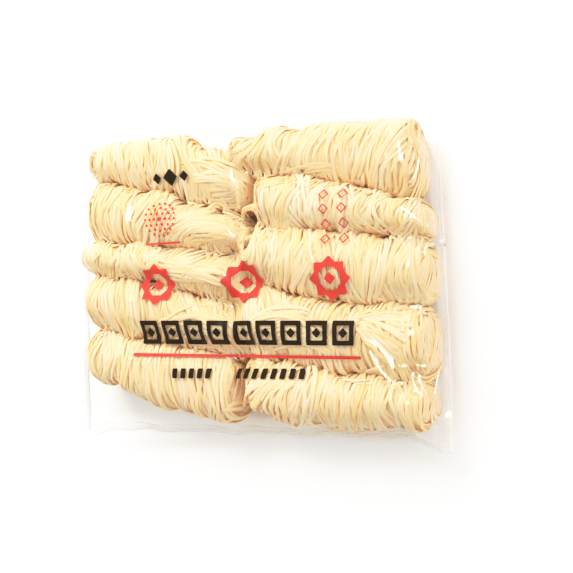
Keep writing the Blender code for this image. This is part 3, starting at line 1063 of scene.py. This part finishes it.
TENSION_EDGE = 10 * MM  # how far inside the seams it has its full size
CREASE_EDGE = (-2 * MM, 4 * MM)  # how far inside them creases start and have theirs
# How milky the film is over its seals and at their roots, and how white at its edges, where the
# white is partly a painted highlight along the folds; and how far each runs out
SEAL_MILK, ROOT_MILK, EDGE_MILK_AND_HIGHLIGHT = 0.10, 0.22, 0.55
SEAL_BLUR, ROOT_BLUR, EDGE_BLUR = 0.6 * MM, 0.7 * MM, 0.8 * MM


def beside_line(line, x, y):
    """How far places lie along a bowed line, as a share of it, and how far to its left, with the
    line's start and length."""
    start, end = np.array(line.start) * MM, np.array(line.end) * MM
    length = np.linalg.norm(end - start)
    chord = (end - start) / length
    along = ((x - start[0]) * chord[0] + (y - start[1]) * chord[1]) / length
    off = -(x - start[0]) * chord[1] + (y - start[1]) * chord[0]
    return along, off - line.bow * MM * 4.0 * along * (1.0 - along), start, length


def creases(x, y):
    """How far the film stands out along its creases."""
    total = np.zeros(np.broadcast(x, y).shape)
    for crease in CREASES:
        along, off, _, _ = beside_line(crease, x, y)
        taper = np.sqrt(np.clip(4.0 * along * (1.0 - along), 0.0, 1.0))
        total = total + crease.height * MM * taper * np.exp(-((off / (crease.width * MM)) ** 2))
    return total


def faceted(x, y, height):
    """The film's height with its flat facets let in."""
    for facet in FACETS:
        along, off, start, length = beside_line(facet, x, y)
        half = np.interp(along, (0.0, 1.0), facet.widths) * MM
        past = length * np.maximum(np.maximum(-along, along - 1.0), 0.0)
        share = 1.0 - ease(0.0, FACET_BLEND, np.maximum(np.abs(off) - half, 0.0) + past)
        slope = facet.slope
        plane = facet.height * MM + slope[0] * (x - start[0]) + slope[1] * (y - start[1])
        height = height + (plane - height) * share
    return height


def tension(x, y):
    """The slow unevenness of the film over the strands."""
    u, v = x / MM, y / MM
    swing = (
        np.sin(0.42 * u + 0.9 * np.sin(0.11 * v)) * np.sin(0.31 * v + 1.3 * np.sin(0.09 * u))
        + 0.7 * np.sin(0.67 * u + 0.21 * v + 2.0) * np.sin(0.17 * u - 0.53 * v)
        + 0.5 * np.sin(0.93 * u - 0.35 * v + 0.7)
    )
    return TENSION * swing * ease(0.0, TENSION_EDGE, from_seams(x, y))


def film_surface(x, y):
    """The height of the finished film over the bag."""
    raised = ease(*CREASE_EDGE, from_seams(x, y))
    return faceted(x, y, film_top(x, y) + creases(x, y) * raised + tension(x, y))


def seam_milk_and_edge_highlight(x, y):
    """How milky the film is over the seals and along their roots, and how white along its edges
    and folds, where the white is partly a painted highlight.
    """
    inside = np.minimum(*within(x, y)[:2])
    over_seal = SEAL_MILK * ease(SEAL_BLUR, -SEAL_BLUR, inside)
    root = ROOT_MILK * np.exp(-((inside / ROOT_BLUR) ** 2))
    to_edge = np.minimum(y - front_edge(x), back_edge(x) - y)
    to_edge = np.minimum(to_edge, np.minimum(x - left_end(y), right_end(y) - x))
    # Along the edges the white is partly real milkiness of folded film and partly a painted
    # highlight of the folds catching the light
    edge = EDGE_MILK_AND_HIGHLIGHT * np.exp(-((to_edge / EDGE_BLUR) ** 2))
    return np.maximum(np.maximum(over_seal, root), edge)


def film_piece(material):
    """The bag itself, as one closed skin of film."""
    coarse = BASE_EVERY * round(FINE_FROM * BAG_LENGTH / FILM_CELL / BASE_EVERY)
    fine = BASE_EVERY * round((1.0 - FINE_FROM) * BAG_LENGTH / FINE_CELL / BASE_EVERY)
    rows = BASE_EVERY * round(BAG_WIDTH / FILM_CELL / BASE_EVERY)
    left_part = np.linspace(0.0, FINE_FROM, coarse, endpoint=False)
    u = np.concatenate([left_part, np.linspace(FINE_FROM, 1.0, fine + 1)])[:, None]
    v = np.linspace(0.0, 1.0, rows + 1)[None, :]
    nominal = (v - 0.5) * BAG_WIDTH + 0 * u
    x = left_end(nominal) + (right_end(nominal) - left_end(nominal)) * u
    y = front_edge(x) + (back_edge(x) - front_edge(x)) * v
    top = np.stack([x, y, film_surface(x, y)], axis=-1)
    x, y = x[::BASE_EVERY, ::BASE_EVERY], y[::BASE_EVERY, ::BASE_EVERY]
    base = np.stack([x, y, film_base(x, y)], axis=-1)
    points = np.concatenate([top.reshape(-1, 3), base.reshape(-1, 3)])
    over = np.arange(top[..., 0].size).reshape(top.shape[:2])
    under = over.size + np.arange(base[..., 0].size).reshape(base.shape[:2])

    def cells(grid):
        """The faces of a grid of points."""
        corners = [grid[:-1, :-1], grid[1:, :-1], grid[1:, 1:], grid[:-1, 1:]]
        return np.stack(corners, -1).reshape(-1, 4)

    def rim(fine, coarse):
        """Two faces for each step of the coarse edge, which has three fine ones."""
        c, d = coarse[:-1], coarse[1:]
        a, b, e, f = fine[:-1:3], fine[1::3], fine[2::3], fine[3::3]
        return np.concatenate([np.stack([c, e, b, a], -1), np.stack([c, d, f, e], -1)])

    quads = [
        cells(over),
        cells(under)[:, ::-1],
        rim(over[:, 0], under[:, 0]),
        rim(over[:, -1], under[:, -1])[:, ::-1],
        rim(over[0], under[0])[:, ::-1],
        rim(over[-1], under[-1]),
    ]
    faces = np.concatenate(quads).tolist()
    # The film's milkiness, with a painted highlight along its edges
    milk_and_highlight = seam_milk_and_edge_highlight(points[:, 0], points[:, 1])
    mesh_piece("clear_film_bag", points, faces, material, "clear_film", seam=milk_and_highlight)


# ---- print

INK_LIFT = 0.16 * MM  # of the ink's face above the film
INK_THICKNESS = 0.08 * MM
PRINT_CELL = 0.62 * MM


def turned(x, y, centre, angle=0.0):
    """Places in a shape's own axes."""
    cosine, sine = math.cos(angle), math.sin(angle)
    u, v = x - centre[0], y - centre[1]
    return cosine * u + sine * v, cosine * v - sine * u


def disc(x, y, centre, radius):
    """How far places lie outside a disc."""
    return np.hypot(x - centre[0], y - centre[1]) - radius


def block(x, y, centre, size, angle=0.0):
    """How far places lie outside a rectangle."""
    u, v = turned(x, y, centre, angle)
    return np.maximum(np.abs(u) - size[0] / 2, np.abs(v) - size[1] / 2)


def outline(field, stroke):
    """A band of the stroke's width inside a shape's edge."""
    return np.maximum(field, -field - stroke)


def join(*fields):
    """All of several shapes together."""
    return np.minimum.reduce(fields)


def printed_piece(name, shape, areas, material, slot):
    """Ink on the film wherever shape's field is below zero, within areas in millimetres."""
    points, faces = [], []
    for low_x, high_x, low_y, high_y in areas:
        xs = np.arange(low_x * MM, high_x * MM + PRINT_CELL, PRINT_CELL)
        ys = np.arange(low_y * MM, high_y * MM + PRINT_CELL, PRINT_CELL)
        x, y = np.meshgrid(xs, ys, indexing="ij")
        field = shape(x / MM, y / MM)
        inside = field < 0
        found = {}

        def point(a, b):
            """The number of the place where the shape's edge crosses from a to b, or of a."""
            key = (min(a, b), max(a, b))
            if key not in found:
                share = field[a] / (field[a] - field[b]) if a != b else 0.0
                found[key] = len(points)
                points.append((x[a] + share * (x[b] - x[a]), y[a] + share * (y[b] - y[a])))
            return found[key]

        some = inside[:-1, :-1] | inside[1:, :-1] | inside[1:, 1:] | inside[:-1, 1:]
        for i, j in zip(*np.nonzero(some)):
            ring = [(i, j), (i + 1, j), (i + 1, j + 1), (i, j + 1)]
            face = []
            for a, b in zip(ring, ring[1:] + ring[:1]):
                if inside[a]:
                    face.append(point(a, a))
                if inside[a] != inside[b]:
                    face.append(point(a, b))
            faces.append(face)
    flat = np.array(points)
    height = film_surface(flat[:, 0], flat[:, 1]) + INK_LIFT
    upper = np.column_stack([flat, height])
    lower = np.column_stack([flat, height - INK_THICKNESS])
    count = len(flat)
    edges = {(a, b) for face in faces for a, b in zip(face, face[1:] + face[:1])}
    walls = [(a, a + count, b + count, b) for a, b in edges if (b, a) not in edges]
    under = [[i + count for i in reversed(face)] for face in faces]
    both = np.concatenate([upper, lower])
    mesh_piece(name, both, faces + under + walls, material, slot, smooth=False)


# All of the print's measures are in millimetres on the bag
TIPPED = math.pi / 4  # a square that stands on its corner
FRAME_SIZE = 19.44  # of a medallion's two square frames
FRAME_STROKE = 2.7
MEDALLION_HEART = 5.4
MEDALLIONS = [(-56, -1), (6.5, -1), (68, -1.5)]  # their centres
ROSETTE = (-53, 42)
# Each ring's radius, its number of dots and their radius
ROSETTE_RINGS = [(0.0, 1, 1.5), (4.2, 6, 1.05), (7.6, 12, 0.95), (11.0, 18, 0.85)]
ROSETTE_BAR = (-15.5, 27, 1.1)  # how far up it lies, its length and its thickness
SQUARES = [(x, y) for x in (64, 76) for y in (50, 41, 32, 23)]
SQUARE_SIZE, SQUARE_STROKE = 4.8, 0.7
BORDER = (-70, 85, -39.5, -24.5)  # left, right, lower and upper
BORDER_SLOPE = -0.018  # it runs a little downhill, as the rule under it does
BORDER_UNITS = 9
UNIT_SHARE, UNIT_STROKE, UNIT_HEART = 0.80, 2.9, 4.4
RULE = (-74, 87, -46.6, 1.9)  # left, right, height at the left, and thickness
BLOCKS = [(-44, -14, 5), (0, 51, 8)]  # groups of them: left, right and how many
BLOCK_HEIGHT, BLOCK_SIZE = -59, (3.6, 6.4)
DIAMONDS = [(-58, 5.0), (-47, 8.0), (-36, 5.0)]  # how far right, and the size
DIAMOND_HEIGHT = 70


def diamond(x, y, centre, size):
    """How far places lie outside a square that stands on its corner."""
    return block(x, y, centre, (size, size), TIPPED)


def medallion(x, y, centre):
    """Two interlaced square frames about a small diamond."""
    upright = outline(block(x, y, centre, (FRAME_SIZE, FRAME_SIZE)), FRAME_STROKE)
    slanted = outline(diamond(x, y, centre, FRAME_SIZE), FRAME_STROKE)
    return join(upright, slanted, diamond(x, y, centre, MEDALLION_HEART))


def rosette(x, y, centre):
    """Rings of dots over a thin bar."""
    fields = []
    for ring, dots, radius in ROSETTE_RINGS:
        for dot in range(dots):
            u, v = turned(x, y, centre, TURN * dot / dots)
            fields.append(disc(u, v, (ring, 0.0), radius))
    up, *bar = ROSETTE_BAR
    return join(block(x, y, (centre[0], centre[1] + up), bar), *fields)


def red_print(x, y):
    """The medallions, the rosette, two columns of outlined diamonds, and the rule."""
    fields = [medallion(x, y, centre) for centre in MEDALLIONS]
    fields += [outline(diamond(x, y, place, SQUARE_SIZE), SQUARE_STROKE) for place in SQUARES]
    left, right, height, thickness = RULE
    above = y - (height + BORDER_SLOPE * (x - left))
    past = np.abs(x - (left + right) / 2) - (right - left) / 2
    rule = np.maximum(past, np.abs(above) - thickness / 2)
    return join(rosette(x, y, ROSETTE), rule, *fields)


def black_print(x, y):
    """The border of framed diamonds, two rows of upright blocks, and three diamonds."""
    left, right, low, high = BORDER
    level = y - BORDER_SLOPE * (x - left)
    width = (right - left) / BORDER_UNITS
    fields = []
    for number in range(BORDER_UNITS):
        centre = (left + (number + 0.5) * width, (low + high) / 2)
        framed = block(x, level, centre, (width * UNIT_SHARE, high - low))
        fields += [outline(framed, UNIT_STROKE), diamond(x, level, centre, UNIT_HEART)]
    for start, end, count in BLOCKS:
        for number in range(count):
            place = start + (end - start) * (number + 0.5) / count
            fields.append(block(x, y, (place, BLOCK_HEIGHT), BLOCK_SIZE))
    fields += [diamond(x, y, (place, DIAMOND_HEIGHT), size) for place, size in DIAMONDS]
    return join(*fields)


# Where the print lies, as left, right, lower and upper
MEDALLION_REACH = 14.5
RED_AREAS = [(-72, -36, 24, 56), (60, 80, 19, 54), (-76, 89, -51.5, -44)] + [
    (x - MEDALLION_REACH, x + MEDALLION_REACH, y - MEDALLION_REACH, y + MEDALLION_REACH)
    for x, y in MEDALLIONS
]
BLACK_AREAS = [(-72, 87, -44, -22), (-46, 53, -63.5, -54.5), (-66, -28, 63, 77)]


# ---- setting

CAMERA_PLACE = Vector((0.2960, -0.0537, 0.5935))
CAMERA_AIM = Vector((0.0195, -0.0018, 0.0))
CAMERA_LENS, CAMERA_SENSOR = 62.3, 36.0  # millimetres
# Three soft lamps, and a window that only the gloss of the film shows: sizes are in metres, powers
# in watts, and all of them point at the bag's middle
Lamp = namedtuple("Lamp", "name place size power diffuse gloss")
LAMPS = [
    Lamp("key_softbox", (-0.42, 0.92, 0.78), 0.8, 18.0, True, False),
    Lamp("fill_softbox", (0.85, 0.10, 0.55), 0.7, 4.5, True, False),
    Lamp("left_softbox", (-0.78, 0.04, 0.34), 0.5, 3.0, True, False),
    Lamp("window", (0.58, 0.54, 1.15), 0.50, 13.0, False, True),
]
SKY_COLOUR, SKY_STRENGTH = (1.0, 0.99, 0.97, 1.0), 0.68
FLOOR_SIZE = 6.0
# The tone curve of the photo: pale tones rise a little and run out softly to white
TONE_WHITE = 1.25
TONE_POINTS = [
    (0.25, 0.245), (0.45, 0.45), (0.6, 0.64), (0.82, 0.80), (0.95, 0.905), (1.13, 0.975),
]
# Pale strands pass light on many times in the gaps between them
DIFFUSE_BOUNCES, MAX_BOUNCES, TRANSPARENT_BOUNCES = 28, 36, 24


def placed(name, data, place, turn):
    """A lamp or camera at its place."""
    thing = bpy.data.objects.new(name, data)
    thing.matrix_world = Matrix.Translation(place) @ turn.to_4x4()
    bpy.context.scene.collection.objects.link(thing)
    return thing


def setting():
    """The floor, the lamps and the sky, and the camera at the photograph's angle."""
    scene = bpy.context.scene
    scene.world = bpy.data.worlds.new("soft_studio_light")
    scene.world.use_nodes = True
    sky = scene.world.node_tree.nodes["Background"]
    sky.inputs["Color"].default_value = SKY_COLOUR
    sky.inputs["Strength"].default_value = SKY_STRENGTH

    bpy.ops.mesh.primitive_plane_add(size=FLOOR_SIZE, location=(0, 0, 0))
    floor = bpy.context.object
    floor.name = "floor"
    floor.data.materials.append(floor_paint())

    for row in LAMPS:
        light = bpy.data.lights.new(row.name, "AREA")
        light.size, light.energy = row.size, row.power
        place = Vector(row.place)
        lamp = placed(row.name, light, place, place.to_track_quat("Z", "Y").to_matrix())
        lamp.visible_diffuse, lamp.visible_glossy = row.diffuse, row.gloss

    away = (CAMERA_PLACE - CAMERA_AIM).normalized()
    up = Vector((0.0, 1.0, 0.0))
    up = (up - away * up.dot(away)).normalized()
    lens = bpy.data.cameras.new("photo_camera")
    lens.lens, lens.sensor_width = CAMERA_LENS, CAMERA_SENSOR
    aim = Matrix((up.cross(away), up, away)).transposed()
    scene.camera = placed("photo_camera", lens, CAMERA_PLACE, aim)

    view = scene.view_settings
    view.view_transform = "Standard"
    view.use_curve_mapping = True
    view.curve_mapping.white_level = (TONE_WHITE,) * 3
    for level, shown in TONE_POINTS:
        view.curve_mapping.curves[3].points.new(level / TONE_WHITE, shown)
    view.curve_mapping.update()
    scene.cycles.diffuse_bounces = DIFFUSE_BOUNCES
    scene.cycles.max_bounces = MAX_BOUNCES
    scene.cycles.transparent_max_bounces = TRANSPARENT_BOUNCES


noodle = dried_noodle()
sections = [Section(number, skein) for number, skein in enumerate(SKEINS)]
for number in range(len(sections)):
    skein_piece(number, sections, noodle)
film_piece(clear_film())
red_ink = ink("red_flexographic_ink", "#DE4C40", "#CB322C")
black_ink = ink("black_flexographic_ink", "#2C1F0C", "#191103")
printed_piece("red_printing", red_print, RED_AREAS, red_ink, "red_print")
printed_piece("black_printing", black_print, BLACK_AREAS, black_ink, "black_print")
setting()
